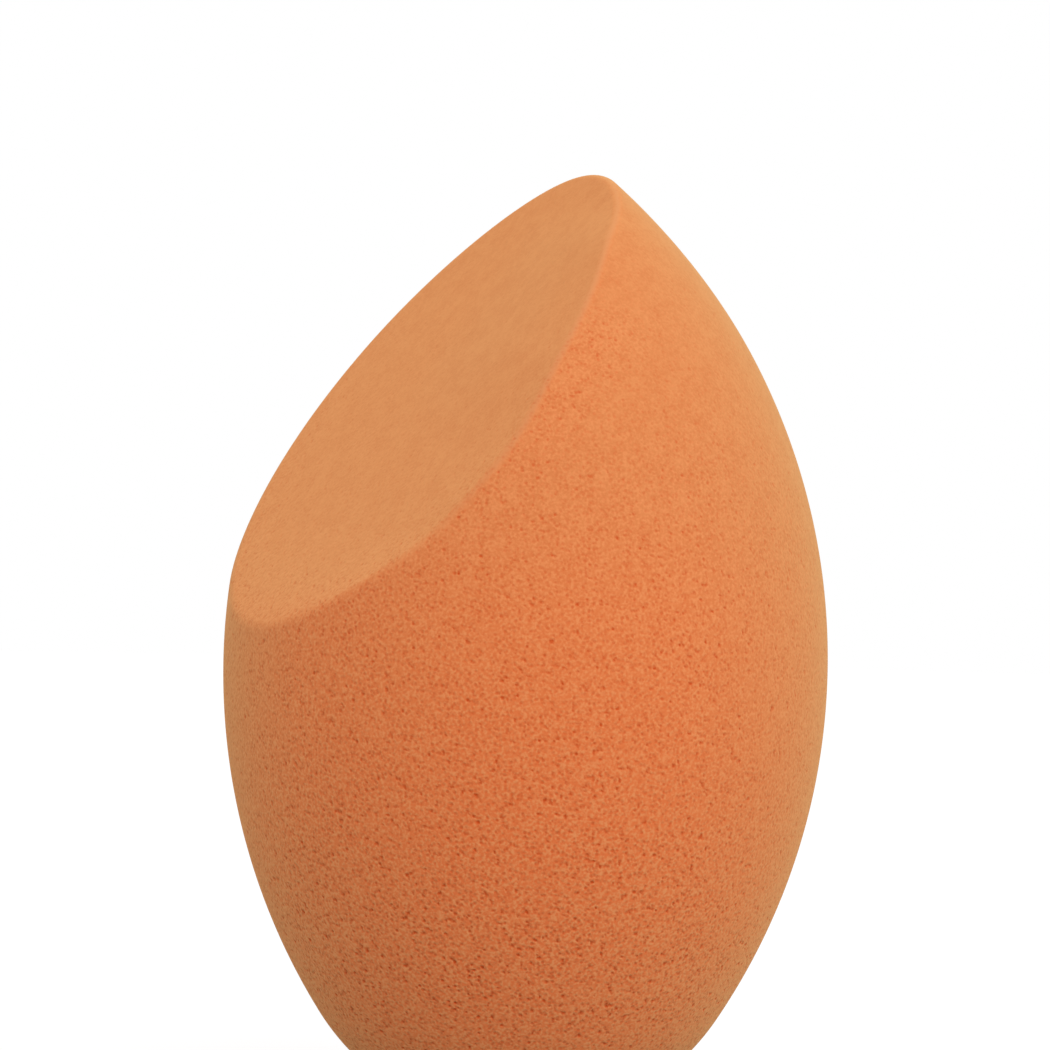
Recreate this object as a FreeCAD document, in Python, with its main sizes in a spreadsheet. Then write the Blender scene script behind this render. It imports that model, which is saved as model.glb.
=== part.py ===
"""A one-piece foam makeup sponge: a drop-shaped body with a round lower end, a small flat to stand
on, and one slanted cut face across its upper end. Millimetres, +Z up, origin at the middle of the
flat on the body's axis. The cut face looks towards -X."""

import math
import os

import FreeCAD
import Part
import Sketcher

# The driving sizes, in mm and degrees, as they go into the sheet
SIZES = {
    # the widest circle of the body, its belly
    "belly_diameter": 42.0,
    # the one long arc that the side follows, above and below the belly
    "side_radius": 44.7,
    # how much tighter the round lower end is than the belly
    "end_tuck": 4.5,
    # how far the foam settles where it stands, which makes the flat
    "base_settle": 0.5,
    # from the middle of the belly square to the cut face
    "cut_distance": 18.0,
    # the cut face's slope from level, in degrees
    "cut_slope": 51.8,
    # the soft rounding all round the cut face
    "rim_radius": 1.25,
    # how far the cutting triangle runs past the body
    "cut_overrun": 5.0,
}
# A flat face whose normal rises more steeply than this share of upright is level
LEVEL_SHARE = 0.99

# The numbers that a sketch gives the points of a line or arc, and its own origin and upright axis
START, END, MIDDLE = range(1, 4)
UPRIGHT, ROOT = range(-2, 0)


def make_sheet(doc):
    sheet = doc.addObject("Spreadsheet::Sheet", "sizes")
    for row, (name, value) in enumerate(SIZES.items(), start=1):
        sheet.set(f"A{row}", name)
        sheet.set(f"B{row}", str(value))
        sheet.setAlias(f"B{row}", name)
    doc.recompute()
    return sheet


def origin_part(body, role):
    return next(part for part in body.Origin.OriginFeatures if part.Role == role)


def new_sketch(body, name):
    """A sketch on the body's XZ plane: across is the radius, up is the height."""
    sketch = body.newObject("Sketcher::SketchObject", name)
    sketch.AttachmentSupport = (origin_part(body, "XZ_Plane"), [""])
    sketch.MapMode = "FlatFace"
    return sketch


def tie(sketch, name, constraint, expression, driving=True):
    """Adds a named dimension and binds it to the sheet."""
    index = sketch.addConstraint(constraint)
    sketch.renameConstraint(index, name)
    if driving:
        sketch.setExpression(f"Constraints.{name}", expression)
    else:
        sketch.setDriving(index, False)
    return index


def draw_profile(body):
    """Half of the drop's outline, from the flat round the lower end and up the side to the axis."""
    belly_radius = SIZES["belly_diameter"] / 2
    side_radius = SIZES["side_radius"]
    end_radius = belly_radius - SIZES["end_tuck"]
    beyond_axis = side_radius - belly_radius
    end_height = end_radius - SIZES["base_settle"]
    flat_radius = math.sqrt(end_radius**2 - end_height**2)
    centres_apart = side_radius - end_radius
    belly_height = end_height + math.sqrt(centres_apart**2 - beyond_axis**2)
    # the arcs meet on the line through both centres
    join_angle = math.atan2(end_height - belly_height, beyond_axis)
    point_angle = math.acos(beyond_axis / side_radius)
    point_height = belly_height + side_radius * math.sin(point_angle)

    sketch = new_sketch(body, "outline")
    vector = FreeCAD.Vector
    up = vector(0, 0, 1)
    end_circle = Part.Circle(vector(0, end_height, 0), up, end_radius)
    side_circle = Part.Circle(vector(-beyond_axis, belly_height, 0), up, side_radius)
    flat_angle = math.atan2(-end_height, flat_radius)
    origin = vector(0, 0, 0)
    flat_corner = vector(flat_radius, 0, 0)
    point = vector(0, point_height, 0)
    flat, end, side, axis = sketch.addGeometry(
        [
            Part.LineSegment(origin, flat_corner),
            Part.ArcOfCircle(end_circle, flat_angle, join_angle),
            Part.ArcOfCircle(side_circle, join_angle, point_angle),
            Part.LineSegment(point, origin),
        ],
        False,
    )
    rule = Sketcher.Constraint
    for constraint in (
        rule("Coincident", flat, START, ROOT, START),
        rule("Horizontal", flat),
        rule("Coincident", flat, END, end, START),
        rule("PointOnObject", end, MIDDLE, UPRIGHT),
        rule("Tangent", end, END, side, START),
        rule("Coincident", side, END, axis, START),
        rule("Coincident", axis, END, flat, START),
        rule("Vertical", axis),
    ):
        sketch.addConstraint(constraint)
    tie(sketch, "end_radius", rule("Radius", end, end_radius), "sizes.belly_diameter / 2 - sizes.end_tuck")
    tie(
        sketch,
        "end_height",
        rule("DistanceY", ROOT, START, end, MIDDLE, end_height),
        "sizes.belly_diameter / 2 - sizes.end_tuck - sizes.base_settle",
    )
    tie(sketch, "side_radius", rule("Radius", side, side_radius), "sizes.side_radius")
    tie(
        sketch,
        "beyond_axis",
        rule("DistanceX", side, MIDDLE, ROOT, START, beyond_axis),
        "sizes.side_radius - sizes.belly_diameter / 2",
    )
    tie(
        sketch,
        "belly_height",
        rule("DistanceY", ROOT, START, side, MIDDLE, belly_height),
        None,
        driving=False,
    )
    return sketch, belly_height


def draw_cut(body, belly_height):
    """The triangle above the slanted cut: its long side is the cut face seen from the side."""
    reach = SIZES["belly_diameter"] / 2 + SIZES["cut_overrun"]
    slope = math.radians(SIZES["cut_slope"])
    foot_across = -SIZES["cut_distance"] * math.sin(slope)
    foot_height = belly_height + SIZES["cut_distance"] * math.cos(slope)
    low_height = foot_height + (-reach - foot_across) * math.tan(slope)
    high_height = foot_height + (reach - foot_across) * math.tan(slope)

    sketch = new_sketch(body, "slanted_cut")
    vector = FreeCAD.Vector
    low = vector(-reach, low_height, 0)
    high = vector(reach, high_height, 0)
    corner = vector(-reach, high_height, 0)
    belly = vector(0, belly_height, 0)
    foot = vector(foot_across, foot_height, 0)
    cut, top, back = sketch.addGeometry(
        [Part.LineSegment(low, high), Part.LineSegment(high, corner), Part.LineSegment(corner, low)],
        False,
    )
    square = sketch.addGeometry(Part.LineSegment(belly, foot), True)
    rule = Sketcher.Constraint
    for constraint in (
        rule("Coincident", cut, END, top, START),
        rule("Coincident", top, END, back, START),
        rule("Coincident", back, END, cut, START),
        rule("Horizontal", top),
        rule("Vertical", back),
        rule("PointOnObject", square, START, UPRIGHT),
        rule("PointOnObject", square, END, cut),
        rule("Perpendicular", square, cut),
    ):
        sketch.addConstraint(constraint)
    run_past = "sizes.belly_diameter / 2 + sizes.cut_overrun"
    tie(sketch, "slope", rule("Angle", cut, slope), "sizes.cut_slope")
    tie(sketch, "low_reach", rule("DistanceX", cut, START, ROOT, START, reach), run_past)
    tie(sketch, "high_reach", rule("DistanceX", ROOT, START, cut, END, reach), run_past)
    tie(
        sketch,
        "belly_height",
        rule("DistanceY", ROOT, START, square, START, belly_height),
        "outline.Constraints.belly_height",
    )
    tie(sketch, "cut_distance", rule("Distance", square, SIZES["cut_distance"]), "sizes.cut_distance")
    return sketch


def cut_face_edges(shape):
    """The names of the edges round the slanted face, the one flat face that isn't level."""
    names = []
    for face in shape.Faces:
        if not isinstance(face.Surface, Part.Plane):
            continue
        if abs(face.normalAt(0, 0).z) > LEVEL_SHARE:
            continue
        for edge in face.Edges:
            names += [f"Edge{n}" for n, other in enumerate(shape.Edges, start=1) if other.isSame(edge)]
    return names


def make_foam_body(doc):
    body = doc.addObject("PartDesign::Body", "foam_body")
    body.Label = "foam_body"

    outline, belly_height = draw_profile(body)
    doc.recompute()
    drop = body.newObject("PartDesign::Revolution", "drop")
    drop.Profile = outline
    drop.ReferenceAxis = (outline, ["V_Axis"])
    drop.Angle = 360
    doc.recompute()
    whole_volume = drop.Shape.Volume

    cut_sketch = draw_cut(body, belly_height)
    doc.recompute()
    cut = body.newObject("PartDesign::Pocket", "cut_face")
    cut.Profile = cut_sketch
    cut.Type = "Length"
    cut.SideType = "Symmetric"
    cut.setExpression("Length", "sizes.belly_diameter + 2 * sizes.cut_overrun")
    doc.recompute()
    if not 0 < cut.Shape.Volume < whole_volume:
        raise RuntimeError("the slanted cut removes nothing")

    rim = body.newObject("PartDesign::Fillet", "soft_rim")
    rim.Base = (cut, cut_face_edges(cut.Shape))
    rim.setExpression("Radius", "sizes.rim_radius")
    doc.recompute()
    body.Tip = rim
    doc.recompute()
    return body


def check(doc, bodies):
    for thing in doc.Objects:
        if {"Invalid", "Error"} & set(thing.State):
            raise RuntimeError(f"{thing.Name} did not build: {thing.State}")
    for body in bodies:
        shape = body.Shape
        if shape.isNull() or not shape.isValid() or len(shape.Solids) != 1:
            raise RuntimeError(f"{body.Label} is not one valid solid")


def main():
    doc = FreeCAD.newDocument("makeup_sponge")
    make_sheet(doc)
    bodies = [make_foam_body(doc)]
    doc.recompute()
    check(doc, bodies)
    os.makedirs("parts", exist_ok=True)
    for body in bodies:
        box = body.Shape.optimalBoundingBox(False)
        lengths = f"{box.XLength:.2f} x {box.YLength:.2f} x {box.ZLength:.2f}"
        print(f"{body.Label}: {lengths} mm, from z {box.ZMin:.3f}, {body.Shape.Volume:.0f} mm3")
        body.Shape.exportStep(f"parts/{body.Label}.step")


main()
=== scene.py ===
import math

import bmesh
import bpy
import numpy as np
from mathutils import Matrix, Vector


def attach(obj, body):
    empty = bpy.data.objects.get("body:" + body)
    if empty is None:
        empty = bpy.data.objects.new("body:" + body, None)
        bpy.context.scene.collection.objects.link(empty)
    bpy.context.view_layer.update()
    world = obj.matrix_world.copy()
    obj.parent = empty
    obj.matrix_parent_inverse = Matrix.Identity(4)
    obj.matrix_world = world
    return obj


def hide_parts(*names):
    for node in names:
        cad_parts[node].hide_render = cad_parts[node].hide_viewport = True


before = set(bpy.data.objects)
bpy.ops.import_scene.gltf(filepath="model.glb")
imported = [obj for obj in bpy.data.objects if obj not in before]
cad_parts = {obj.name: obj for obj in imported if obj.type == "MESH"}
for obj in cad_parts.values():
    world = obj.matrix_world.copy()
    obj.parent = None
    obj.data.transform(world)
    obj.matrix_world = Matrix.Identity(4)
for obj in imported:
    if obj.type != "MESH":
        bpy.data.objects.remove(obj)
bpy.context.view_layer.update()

MM = 0.001
# What a length, and the spread between two ways, are at least where they divide
TINY = 1e-9
LEAST_SPREAD = 1e-6

# The sponge's form: the sizes of the solid that it stands for, apart from the rim of its sliced face
BELLY_RADIUS = 21.0 * MM
SIDE_RADIUS = 44.7 * MM
END_RADIUS = BELLY_RADIUS - 4.5 * MM
BASE_SETTLE = 0.5 * MM
CUT_DISTANCE = 18.0 * MM
CUT_SLOPE = math.radians(51.8)
# Near its tip the drop is a little slimmer than its arc; these heights are from the belly
TIP_SLIMMER = 0.12 * MM
SLIMMER_UP = (22.0 * MM, 33.0 * MM)
# Ways up and down the sliced face start from its place nearest to the belly's middle. Its rim is
# sharp at the tip and grows rounder on its way down
RIM_RADIUS = 0.6 * MM
RIM_ROUNDER = 0.9 * MM
ROUNDER_DOWN = (-24.0 * MM, 8.0 * MM)
# The face isn't quite flat: it is a little hollow, and its low end is fuller and a little twisted
CUT_HOLLOW = 0.13 * MM
CUT_FULLER = 0.38 * MM
CUT_TWIST = 0.50 * MM
FULLER_DOWN = (1.0 * MM, 10.0 * MM)
# Its front edge, towards -Y, is fuller too, from a little above that place until short of the tip
FRONT_FULLER = 0.48 * MM
FRONT_OUT = (-4.0 * MM, 10.0 * MM)
FRONT_START_UP = (5.0 * MM, 14.0 * MM)
FRONT_END_UP = (22.5 * MM, 27.5 * MM)

# The side's arc is centred this far beyond the axis, and the round end this far below the belly
BEYOND_AXIS = SIDE_RADIUS - BELLY_RADIUS
END_DROP = math.sqrt((SIDE_RADIUS - END_RADIUS) ** 2 - BEYOND_AXIS**2)
BELLY_HEIGHT = END_DROP + END_RADIUS - BASE_SETTLE
CUT_OUT = np.array([-math.sin(CUT_SLOPE), 0.0, math.cos(CUT_SLOPE)])
CUT_DOWN = np.array([-math.cos(CUT_SLOPE), 0.0, -math.sin(CUT_SLOPE)])

# The foam's pores, sunk into its skin: how far apart, how wide as a share of that, and how deep
PORES = {"spacing": 0.46 * MM, "narrow": 0.17, "wide": 0.29, "depth": 0.10 * MM, "seed": 23}
# The lattice of pores repeats after this many, and their walls are steeper the lower the power is
PORES_A_SIDE = 64
PORE_POWER = 0.7
# Where a pore is this deep it has its darkest painted shade
PORE_FULL = 0.08 * MM

# How open the foam is by height from the floor, as a share of the open foam below the belly. Low down its
# pores are deeper and their painted shade stronger, where less light falls from above
OPEN_HEIGHTS = np.array([12.0, 22.0, 36.0, 52.0, 62.0]) * MM
OPEN_AND_SHADE_SHARES = (1.2, 0.96, 0.76, 0.30, 0.18)
# Off the slice and close along its rim it stays more open, until short of the tip
NEAR_RIM_OPEN = 0.56
NEAR_RIM = (1.0 * MM, 9.5 * MM)
NEAR_RIM_TOP = (54.0 * MM, 59.0 * MM)
# The sliced face is less open, and least away from its rim
SLICED_OPEN = 0.45
RIM_OPEN = 0.85
RIM_BAND = 3.5 * MM
# Its look goes this deep round the rim, and deeper up the slice. The blade tore the cells there, so
# that it ends unevenly
SLICED_DEEP = 0.20 * MM
SLICED_DEEPER = 0.30 * MM
DEEPER_UP = (-8.0 * MM, 4.0 * MM)
UNEVEN = {"rough": 0.09 * MM, "seed": 31}
# The pores are deepest and their painted shade strongest left of the middle, where the key lamp's light
# rakes across the foam, and both fade towards the outline on either side, as the camera sees them
OPEN_AND_SHADE_ACROSS = np.array([-0.92, -0.72, -0.40, 0.50, 0.92]) * BELLY_RADIUS
OPEN_AND_SHADE_THERE = (0.90, 1.10, 1.0, 1.0, 0.80)
# The rim's upper part carries a painted highlight, a thin paler line
RIM_HIGHLIGHT_WIDE = (0.10 * MM, 0.38 * MM)
RIM_HIGHLIGHT_HEIGHTS = (36.0 * MM, 50.0 * MM)

# The grid that the foam's skin is drawn on, before it is refined
ROUND_CUTS = 7
TALL_CUTS = 13
REFINE = 5
RELAX_ROUNDS = 40
SETTLE_ROUNDS = 10
# A step towards the skin is never stretched by more than one over this
LEAST_FACING = 0.2
# Each side of the grid keeps this share of its cell of the chart free all round
CHART_MARGIN = 0.012

# The foam's fine cells, grain and mottle, too small for the mesh: how many stand in a metre
FINE_CELLS = 3200.0
GRAIN = 5200.0
MOTTLE = 650.0
# How deep they look, and how far the grain stands out of the pits
FINE_DEPTH = 0.03 * MM
GRAIN_LIFT = 0.3
# Where a fine cell starts and where it is fully open, as shares of its width, and the shallowest one
CELL_EDGE = 0.58
CELL_CORE = 0.15
SHALLOWEST = 0.45
# How much of the pores' painted shade a fine cell gets
PIT_SHADE = 0.62

# The foam's colours: its moulded and sliced skin, each from mottled to clear, and the painted highlights
# and painted shade that lie on them
MOULDED = ((0.672, 0.183, 0.054), (0.726, 0.230, 0.075))
SLICED = ((0.728, 0.185, 0.053), (0.786, 0.232, 0.073))
OPEN_FOAM = (0.810, 0.162, 0.043)
# Pale flecks on the raised grain: painted highlights
FLECK_HIGHLIGHT = (0.85, 0.283, 0.101)
# A thin paler line along the upper rim: a painted highlight
RIM_HIGHLIGHT = (0.73, 0.240, 0.088)
# Painted shade deep in the pores and pits, dark red
PORE_SHADE = (0.62, 0.058, 0.003)
# The soft light that its fine hairs give back along its outline
SHEEN = {"Weight": 0.42, "Roughness": 0.65, "Tint": (0.93, 0.87, 0.37, 1.0)}
# Between which values the mottle, the painted highlight flecks and the open foam's colour come in
MOTTLE_SPAN = (0.30, 0.70)
FLECK_HIGHLIGHT_SPAN = (0.35, 0.75)
OPEN_SPAN = (0.45, 1.05)

# The photograph: its frame, and where the belly's middle stands in it
FRAME_PX = 1050
PX_PER_MM = 14.37
BELLY_PX = (525.5, 666.0)
CAMERA_PX = 5500.0
VIEW_TURN = math.radians(-30.8)
VIEW_RISE = math.radians(1.6)
VIEW_ROLL = math.radians(1.3)
SENSOR_MM = 36.0

# The studio: a soft lamp, turned in degrees from the camera's side and raised, a white world, a floor
KEY_TURN = 31
KEY_RISE = 24
KEY_DISTANCE = 0.8
KEY_SIZE = 0.9
KEY_POWER = 3.25
WORLD_STRENGTH = 0.84
FLOOR_REACH = 0.6
FLOOR_GREY = 0.38
FLOOR_GLOW = 0.70


def ramp(values, start, end):
    """0 before the start, 1 past the end, and a soft rise between."""
    share = np.clip((values - start) / (end - start), 0, 1)
    return share * share * (3 - 2 * share)


def drop_distance(points):
    """How far points lie outside the round drop, and the way out there; heights are from the belly."""
    radius = np.maximum(np.hypot(points[:, 0], points[:, 1]), TINY)
    height = points[:, 2]
    outward = np.stack([radius + BEYOND_AXIS, height], 1)
    round_end = BEYOND_AXIS * height + END_DROP * outward[:, 0] < 0
    outward[round_end] = np.stack([radius, height + END_DROP], 1)[round_end]
    length = np.linalg.norm(outward, axis=1)
    outward /= length[:, None]
    across = points[:, :2] / radius[:, None] * outward[:, :1]
    slimmer = TIP_SLIMMER * ramp(height, *SLIMMER_UP)
    distance = length - np.where(round_end, END_RADIUS, SIDE_RADIUS) + slimmer
    return distance, np.c_[across, outward[:, 1]]


def cut_distance(points):
    """How far points lie outside the sliced face; heights are from the belly."""
    down = points @ CUT_DOWN
    fuller = CUT_FULLER - CUT_TWIST * points[:, 1] / BELLY_RADIUS
    bow = fuller * ramp(down, *FULLER_DOWN) - CUT_HOLLOW
    front = ramp(-down, *FRONT_START_UP) - ramp(-down, *FRONT_END_UP)
    bow += FRONT_FULLER * front * ramp(-points[:, 1], *FRONT_OUT)
    return points @ CUT_OUT - CUT_DISTANCE - bow


def skin_distance(points):
    """The same for the whole sponge: the drop, sliced, with the rim rounded as by a rolling ball. It
    gives the way out too, and its points' heights are from the floor."""
    points = points - (0.0, 0.0, BELLY_HEIGHT)
    drop, drop_out = drop_distance(points)
    cut = cut_distance(points)
    lean = drop_out @ CUT_OUT
    spread = np.maximum(1 - lean**2, LEAST_SPREAD)
    rim = RIM_RADIUS + RIM_ROUNDER * ramp(points @ CUT_DOWN, *ROUNDER_DOWN)
    past_drop = drop + rim
    past_cut = cut + rim
    both = (past_drop > past_cut * lean) & (past_cut > past_drop * lean)
    both &= np.maximum(past_drop, past_cut) > 0
    reach = np.sqrt((past_drop**2 + past_cut**2 - 2 * past_drop * past_cut * lean) / spread)
    reach = np.maximum(reach, TINY)
    rim_out = (past_drop - past_cut * lean)[:, None] * drop_out
    rim_out += (past_cut - past_drop * lean)[:, None] * CUT_OUT
    rim_out /= (spread * reach)[:, None]
    plain = np.where((drop > cut)[:, None], drop_out, CUT_OUT)
    distance = np.where(both, reach - rim, np.maximum(drop, cut))
    return distance, np.where(both[:, None], rim_out, plain)


def onto_skin(points):
    """Points moved straight out from the belly's middle, or in, onto the sponge's skin, and the way
    out of the skin there."""
    middle = np.array([0.0, 0.0, BELLY_HEIGHT])
    ways = points - middle
    ways /= np.linalg.norm(ways, axis=1)[:, None]
    reach = np.full(len(points), 2 * BELLY_RADIUS)
    for _ in range(SETTLE_ROUNDS):
        distance, way_out = skin_distance(middle + ways * reach[:, None])
        reach -= distance / np.maximum((way_out * ways).sum(1), LEAST_FACING)
    to_flat = BELLY_HEIGHT / np.maximum(-ways[:, 2], TINY)
    on_flat = reach > to_flat
    way_out[on_flat] = (0.0, 0.0, -1.0)
    return middle + ways * np.minimum(reach, to_flat)[:, None], way_out


def top_point():
    """The sponge's tip: the highest of many places along the middle of its skin."""
    lean = np.linspace(-1.0, 1.0, 4001)
    arc = np.stack([np.sin(lean), np.zeros_like(lean), np.cos(lean)], 1) * BELLY_RADIUS
    skin, _ = onto_skin(arc + (0.0, 0.0, BELLY_HEIGHT))
    return skin[np.argmax(skin[:, 2])]


def read_points(mesh):
    found = np.empty(len(mesh.vertices) * 3)
    mesh.vertices.foreach_get("co", found)
    return found.reshape(-1, 3)


def write_points(mesh, points):
    mesh.vertices.foreach_set("co", points.ravel())
    mesh.update()


def six_charts(mesh):
    """Lays each side of the box out in its own cell of a sheet of three by two, for the finished map."""
    chart = mesh.loops.layers.uv.new("OFBake")
    for face in mesh.faces:
        axis = max(range(3), key=lambda n: abs(face.normal[n]))
        far = face.normal[axis] > 0
        turned = far == (axis == 1)
        first, second = [n for n in range(3) if n != axis]
        for loop in face.loops:
            across = (loop.vert.co[first] + 1) / 2
            if turned:
                across = 1 - across
            up = (loop.vert.co[second] + 1) / 2
            across = CHART_MARGIN + (1 - 2 * CHART_MARGIN) * across
            up = CHART_MARGIN + (1 - 2 * CHART_MARGIN) * up
            loop[chart].uv = ((axis + across) / 3, (far + up) / 2)


def box_grid():
    """A box of square-ish cells, rounded out and settled evenly on the sponge's skin."""
    grid = bmesh.new()
    bmesh.ops.create_cube(grid, size=2)
    for axis, cuts in enumerate((ROUND_CUTS, ROUND_CUTS, TALL_CUTS)):
        along = [
            edge
            for edge in grid.edges
            if abs((edge.verts[1].co - edge.verts[0].co)[axis]) > 1
        ]
        bmesh.ops.subdivide_edges(grid, edges=along, cuts=cuts, use_grid_fill=True)
    grid.normal_update()
    six_charts(grid)
    for vert in grid.verts:
        turned = Vector([math.tan(c * math.pi / 4) for c in vert.co]).normalized()
        vert.co = (turned.x * BELLY_RADIUS, turned.y * BELLY_RADIUS, turned.z * BELLY_HEIGHT + BELLY_HEIGHT)
    tip = Vector(top_point())
    tip_vert = min(grid.verts, key=lambda vert: (vert.co - tip).length)
    free = [vert for vert in grid.verts if vert is not tip_vert]
    for _ in range(RELAX_ROUNDS):
        bmesh.ops.smooth_vert(
            grid, verts=free, factor=0.5, use_axis_x=True, use_axis_y=True, use_axis_z=True
        )
        settled, _ = onto_skin(np.array([vert.co for vert in free]))
        for vert, place in zip(free, settled):
            vert.co = place
        tip_vert.co = tip
    mesh = bpy.data.meshes.new("foam_grid")
    grid.to_mesh(mesh)
    grid.free()
    return mesh


def refined(mesh):
    """The same mesh with each cell divided many times by a subdivision surface."""
    holder = bpy.data.objects.new("foam_grid", mesh)
    bpy.context.scene.collection.objects.link(holder)
    smooth = holder.modifiers.new("refine", "SUBSURF")
    smooth.levels = smooth.render_levels = REFINE
    smooth.use_limit_surface = False
    fine = bpy.data.meshes.new_from_object(holder.evaluated_get(bpy.context.evaluated_depsgraph_get()))
    bpy.data.objects.remove(holder)
    bpy.data.meshes.remove(mesh)
    return fine


def pore_depth(points, spacing, narrow, wide, depth, seed):
    """How deep the foam's pores lie at each point. A lattice turned askew has one round pore at a
    random place in each of its boxes, and the skin slices through whichever it meets."""
    rng = np.random.default_rng(seed)
    side = PORES_A_SIDE
    askew = np.linalg.qr(rng.normal(size=(3, 3)))[0]
    place = rng.uniform(0, 1, (side**3, 3))
    radius = rng.uniform(narrow, wide, side**3)
    scaled = points @ askew / spacing
    box = np.floor(scaled).astype(int)
    found = np.zeros(len(points))
    for step in np.ndindex(3, 3, 3):
        near = box + step - 1
        index = near % side @ (side * side, side, 1)
        apart = np.linalg.norm(scaled - near - place[index], axis=1) / radius[index]
        inside = np.clip(1 - apart**2, 0, 1) ** PORE_POWER
        found = np.maximum(found, radius[index] / wide * inside)
    return depth * found


def sliced_share(points):
    """1 on the sliced face, 0 on the moulded side, and between them on the rim."""
    from_belly = points - (0.0, 0.0, BELLY_HEIGHT)
    uneven = np.random.default_rng(UNEVEN["seed"]).normal(0, UNEVEN["rough"], len(points))
    deeper = SLICED_DEEPER * ramp(-(from_belly @ CUT_DOWN), *DEEPER_UP)
    return 1 - ramp(uneven - cut_distance(from_belly), 0, SLICED_DEEP + deeper)


def openness(points, sliced):
    """How open the foam is at each point, as a share of the open foam below the belly; it sets the pores'
    depth and the strength of their painted shade.
    """
    from_belly = points - (0.0, 0.0, BELLY_HEIGHT)
    up = np.interp(points[:, 2], OPEN_HEIGHTS, OPEN_AND_SHADE_SHARES)
    near_rim = 1 - ramp(-cut_distance(from_belly), *NEAR_RIM)
    near_rim *= 1 - ramp(points[:, 2], *NEAR_RIM_TOP)
    moulded = np.maximum(up, NEAR_RIM_OPEN * near_rim)
    in_from_rim = -drop_distance(from_belly)[0]
    cut = up * (RIM_OPEN + (SLICED_OPEN - RIM_OPEN) * ramp(in_from_rim, 0, RIM_BAND))
    # The pores' depth and painted shade change across the view, as the camera sees it
    to_right = points[:, 0] * math.cos(VIEW_TURN) + points[:, 1] * math.sin(VIEW_TURN)
    side = np.interp(to_right, OPEN_AND_SHADE_ACROSS, OPEN_AND_SHADE_THERE)
    return side * (moulded + (cut - moulded) * sliced)


def rim_highlight(points):
    """1 where the painted highlight lies along the upper part of the rim, fading out to each side and
    towards its low end.
    """
    from_belly = points - (0.0, 0.0, BELLY_HEIGHT)
    off_rim = np.maximum(-drop_distance(from_belly)[0], -cut_distance(from_belly))
    return (1 - ramp(off_rim, *RIM_HIGHLIGHT_WIDE)) * ramp(points[:, 2], *RIM_HIGHLIGHT_HEIGHTS)


def keep_values(mesh, name, values):
    kept = mesh.attributes.new(name, "FLOAT", "POINT")
    kept.data.foreach_set("value", values)


def make_foam():
    """The sponge's skin with its pores sunk into it, and the values that its material reads."""
    mesh = refined(box_grid())
    skin, way_out = onto_skin(read_points(mesh))
    sliced = sliced_share(skin)
    opened = openness(skin, sliced)
    deep = opened * pore_depth(skin, **PORES)
    sunk = skin - deep[:, None] * way_out
    sunk[:, 2] = np.maximum(sunk[:, 2], 0.0)
    write_points(mesh, sunk)
    # How deep each point lies in a pore, which the material turns into painted shade
    keep_values(mesh, "pore", np.clip(deep / PORE_FULL, 0, 1))
    keep_values(mesh, "open", opened)
    # Where the painted highlight lies along the rim
    keep_values(mesh, "edge", rim_highlight(skin))
    keep_values(mesh, "sliced", sliced)
    mesh.polygons.foreach_set("use_smooth", np.ones(len(mesh.polygons), bool))
    foam = bpy.data.objects.new("foam_sponge", mesh)
    bpy.context.scene.collection.objects.link(foam)
    return foam


def add_math(nodes, links, operation, first, second, clamp=False):
    """A math node whose inputs are numbers or other nodes' outputs; gives its output."""
    node = nodes.new("ShaderNodeMath")
    node.operation = operation
    node.use_clamp = clamp
    for slot, value in enumerate((first, second)):
        if isinstance(value, (int, float)):
            node.inputs[slot].default_value = value
        else:
            links.new(value, node.inputs[slot])
    return node.outputs[0]


def add_noise(nodes, links, place, scale, detail, roughness):
    noise = nodes.new("ShaderNodeTexNoise")
    noise.inputs["Scale"].default_value = scale
    noise.inputs["Detail"].default_value = detail
    noise.inputs["Roughness"].default_value = roughness
    links.new(place, noise.inputs["Vector"])
    return noise.outputs["Fac"]


def add_mix(nodes, links, share, first, second):
    """A mix of two colours, each three numbers or another node's output; gives its output."""
    mix = nodes.new("ShaderNodeMix")
    mix.data_type = "RGBA"
    links.new(share, mix.inputs["Factor"])
    for name, value in (("A", first), ("B", second)):
        slot = next(i for i in mix.inputs if i.name == name and i.type == "RGBA")
        if isinstance(value, tuple):
            slot.default_value = (*value, 1.0)
        else:
            links.new(value, slot)
    return next(o for o in mix.outputs if o.type == "RGBA")


def smooth_step(nodes, links, value, start, end):
    step = nodes.new("ShaderNodeMapRange")
    step.interpolation_type = "SMOOTHSTEP"
    step.inputs["From Min"].default_value = start
    step.inputs["From Max"].default_value = end
    links.new(value, step.inputs["Value"])
    return step.outputs[0]


def add_value(nodes, name):
    """One of the values that the mesh keeps at its points."""
    value = nodes.new("ShaderNodeAttribute")
    value.attribute_name = name
    return value.outputs["Fac"]


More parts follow.
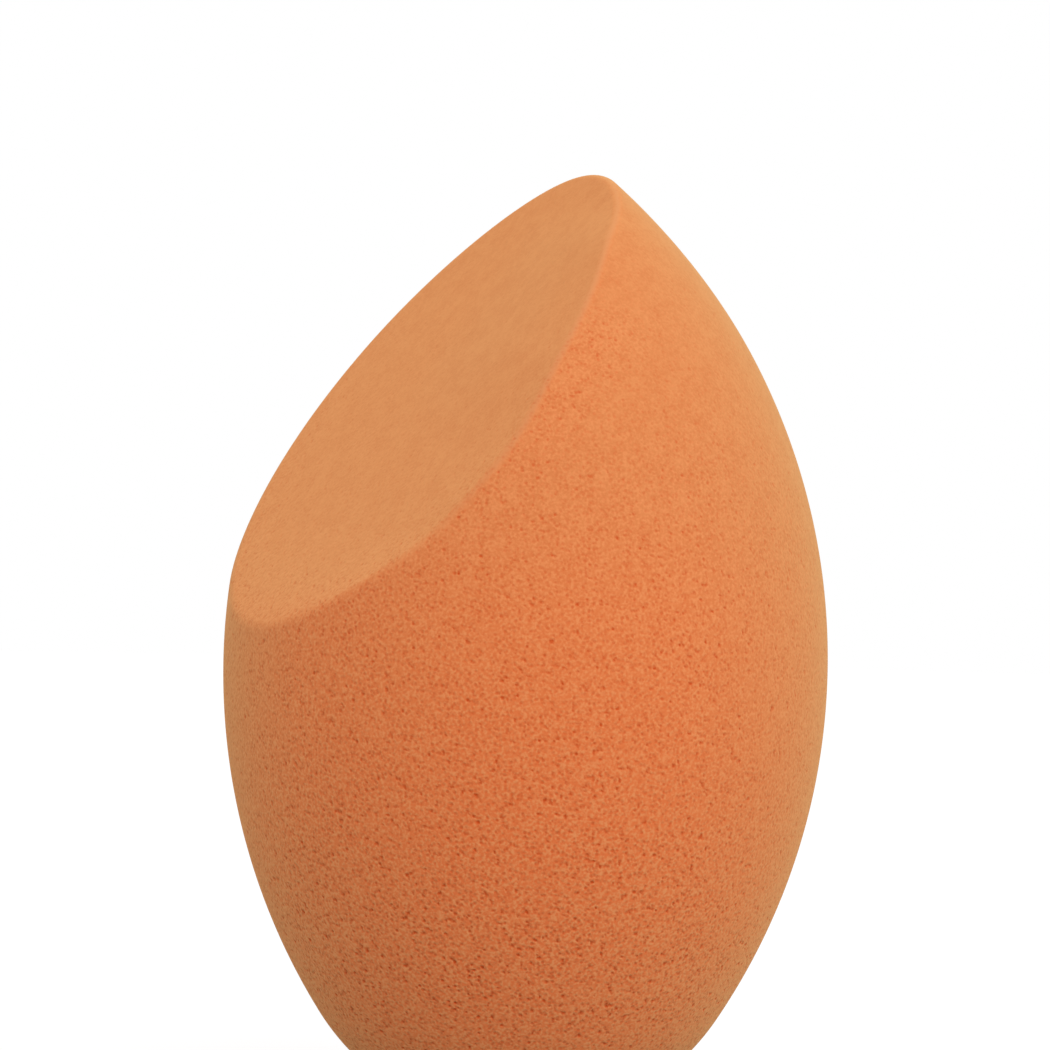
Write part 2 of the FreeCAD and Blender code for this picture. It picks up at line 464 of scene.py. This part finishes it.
def cells_group():
    """Small soft cells through the foam, most of them shallow: how open each place is."""
    group = bpy.data.node_groups.new("foam_cells", "ShaderNodeTree")
    face = group.interface
    face.new_socket("Place", in_out="INPUT", socket_type="NodeSocketVector")
    face.new_socket("Per Metre", in_out="INPUT", socket_type="NodeSocketFloat")
    face.new_socket("Open", in_out="OUTPUT", socket_type="NodeSocketFloat")
    nodes, links = group.nodes, group.links
    source = nodes.new("NodeGroupInput")
    out = nodes.new("NodeGroupOutput")
    cells = nodes.new("ShaderNodeTexVoronoi")
    links.new(source.outputs["Place"], cells.inputs["Vector"])
    links.new(source.outputs["Per Metre"], cells.inputs["Scale"])
    chance = nodes.new("ShaderNodeSeparateColor")
    links.new(cells.outputs["Color"], chance.inputs["Color"])
    deeper = add_math(nodes, links, "MULTIPLY", chance.outputs[0], 1 - SHALLOWEST)
    depth = add_math(nodes, links, "ADD", SHALLOWEST, deeper)
    inside = smooth_step(nodes, links, cells.outputs["Distance"], CELL_EDGE, CELL_CORE)
    links.new(add_math(nodes, links, "MULTIPLY", inside, depth), out.inputs["Open"])
    return group


def add_cells(nodes, links, place, per_metre):
    cells = nodes.new("ShaderNodeGroup")
    cells.node_tree = cells_group()
    links.new(place, cells.inputs["Place"])
    cells.inputs["Per Metre"].default_value = per_metre
    return cells.outputs["Open"]


def foam_colour(nodes, links, pit, grain, mottle):
    """The foam's colour: mottled skin, redder where the foam is open, with painted highlights as pale
    flecks and along the rim, and painted shade in its pores.
    """
    opened = add_value(nodes, "open")
    moulded = add_mix(nodes, links, mottle, *MOULDED)
    sliced = add_mix(nodes, links, mottle, *SLICED)
    skin = add_mix(nodes, links, add_value(nodes, "sliced"), moulded, sliced)
    skin = add_mix(nodes, links, smooth_step(nodes, links, opened, *OPEN_SPAN), skin, OPEN_FOAM)
    # Painted highlights: pale flecks on the grain where the foam is open
    fleck_highlight = add_math(nodes, links, "MULTIPLY", smooth_step(nodes, links, grain, *FLECK_HIGHLIGHT_SPAN), opened)
    skin = add_mix(nodes, links, fleck_highlight, skin, FLECK_HIGHLIGHT)
    # A painted highlight along the upper rim
    skin = add_mix(nodes, links, add_value(nodes, "edge"), skin, RIM_HIGHLIGHT)
    # Painted shade in the pits and pores
    shaded_pit = add_math(nodes, links, "MULTIPLY", pit, PIT_SHADE)
    deep = add_math(nodes, links, "ADD", shaded_pit, add_value(nodes, "pore"), clamp=True)
    return add_mix(nodes, links, deep, skin, PORE_SHADE)


def foam_material():
    material = bpy.data.materials.new("orange_foam")
    material.use_nodes = True
    nodes, links = material.node_tree.nodes, material.node_tree.links
    shader = nodes["Principled BSDF"]
    shader.inputs["Roughness"].default_value = 0.95
    shader.inputs["Specular IOR Level"].default_value = 0.1
    for name, value in SHEEN.items():
        shader.inputs["Sheen " + name].default_value = value

    place = nodes.new("ShaderNodeTexCoord").outputs["Object"]
    fine = add_cells(nodes, links, place, FINE_CELLS)
    pit = add_math(nodes, links, "MULTIPLY", fine, add_value(nodes, "open"))
    grain = add_noise(nodes, links, place, GRAIN, 1.0, 0.5)
    mottle = smooth_step(nodes, links, add_noise(nodes, links, place, MOTTLE, 4.0, 0.85), *MOTTLE_SPAN)
    links.new(foam_colour(nodes, links, pit, grain, mottle), shader.inputs["Base Color"])

    height = add_math(nodes, links, "SUBTRACT", add_math(nodes, links, "MULTIPLY", grain, GRAIN_LIFT), pit)
    bump = nodes.new("ShaderNodeBump")
    bump.inputs["Distance"].default_value = FINE_DEPTH
    links.new(height, bump.inputs["Height"])
    links.new(bump.outputs["Normal"], shader.inputs["Normal"])
    return material


def way_towards(turn, rise):
    """The way from the sponge to a place turned round it and raised above it, as a unit vector."""
    return Vector((math.sin(turn) * math.cos(rise), -math.cos(turn) * math.cos(rise), math.sin(rise)))


def add_camera():
    """A camera that sees the sponge as the photograph does: the belly's middle at its own pixel."""
    back = way_towards(VIEW_TURN, VIEW_RISE)
    level = Vector((math.cos(VIEW_TURN), math.sin(VIEW_TURN), 0.0))
    right = level * math.cos(VIEW_ROLL) + back.cross(level) * math.sin(VIEW_ROLL)
    up = back.cross(right)
    px = MM / PX_PER_MM
    half = FRAME_PX / 2
    aim = Vector((0, 0, BELLY_HEIGHT)) - right * (BELLY_PX[0] - half) * px + up * (BELLY_PX[1] - half) * px
    camera = bpy.data.objects.new("camera", bpy.data.cameras.new("camera"))
    camera.data.sensor_width = SENSOR_MM
    camera.data.lens = CAMERA_PX / FRAME_PX * SENSOR_MM
    camera.data.clip_start = 0.01
    camera.data.clip_end = 10.0
    turned = Matrix((right, up, back)).transposed()
    camera.matrix_world = Matrix.Translation(aim + back * CAMERA_PX * px) @ turned.to_4x4()
    bpy.context.scene.collection.objects.link(camera)
    bpy.context.scene.camera = camera


def add_key_lamp():
    """A soft square white lamp to the right of the camera, aimed at the belly."""
    way = way_towards(VIEW_TURN + math.radians(KEY_TURN), math.radians(KEY_RISE))
    light = bpy.data.lights.new("key", "AREA")
    light.size = KEY_SIZE
    light.energy = KEY_POWER
    lamp = bpy.data.objects.new("key", light)
    lamp.location = Vector((0, 0, BELLY_HEIGHT)) + way * KEY_DISTANCE
    lamp.rotation_euler = way.to_track_quat("Z", "Y").to_euler()
    bpy.context.scene.collection.objects.link(lamp)


def seen_directly(nodes, links):
    """1 where the camera, a reflection or clear glass looks straight at the surface, else 0."""
    path = nodes.new("ShaderNodeLightPath").outputs
    reflected = add_math(nodes, links, "MAXIMUM", path["Is Camera Ray"], path["Is Glossy Ray"])
    return add_math(nodes, links, "MAXIMUM", reflected, path["Is Transmission Ray"])


def white_world():
    """A white world that lights the sponge softly and is seen as plain white."""
    world = bpy.data.worlds.new("studio")
    world.use_nodes = True
    nodes, links = world.node_tree.nodes, world.node_tree.links
    nodes.clear()
    mix = nodes.new("ShaderNodeMixShader")
    links.new(seen_directly(nodes, links), mix.inputs["Fac"])
    for slot, strength in ((1, WORLD_STRENGTH), (2, 1.0)):
        shade = nodes.new("ShaderNodeBackground")
        shade.inputs["Color"].default_value = (1, 1, 1, 1)
        shade.inputs["Strength"].default_value = strength
        links.new(shade.outputs[0], mix.inputs[slot])
    output = nodes.new("ShaderNodeOutputWorld")
    links.new(mix.outputs[0], output.inputs["Surface"])
    bpy.context.scene.world = world


def pale_floor():
    """A round pale floor that keeps the sponge's shadow; a little glow lifts it to the backdrop's white."""
    disc = bmesh.new()
    bmesh.ops.create_circle(disc, cap_ends=True, segments=96, radius=FLOOR_REACH)
    mesh = bpy.data.meshes.new("floor")
    disc.to_mesh(mesh)
    disc.free()
    floor = bpy.data.objects.new("floor", mesh)
    bpy.context.scene.collection.objects.link(floor)
    material = bpy.data.materials.new("pale_floor")
    material.use_nodes = True
    nodes, links = material.node_tree.nodes, material.node_tree.links
    shader = nodes["Principled BSDF"]
    shader.inputs["Base Color"].default_value = (FLOOR_GREY, FLOOR_GREY, FLOOR_GREY, 1)
    shader.inputs["Roughness"].default_value = 1.0
    shader.inputs["Specular IOR Level"].default_value = 0.0
    shader.inputs["Emission Color"].default_value = (1, 1, 1, 1)
    glow = add_math(nodes, links, "MULTIPLY", seen_directly(nodes, links), FLOOR_GLOW)
    links.new(glow, shader.inputs["Emission Strength"])
    mesh.materials.append(material)


foam = make_foam()
foam.data.materials.append(foam_material())
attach(foam, "root")
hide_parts("foam_body")

add_camera()
add_key_lamp()
white_world()
pale_floor()
bpy.context.scene.view_settings.view_transform = "Standard"
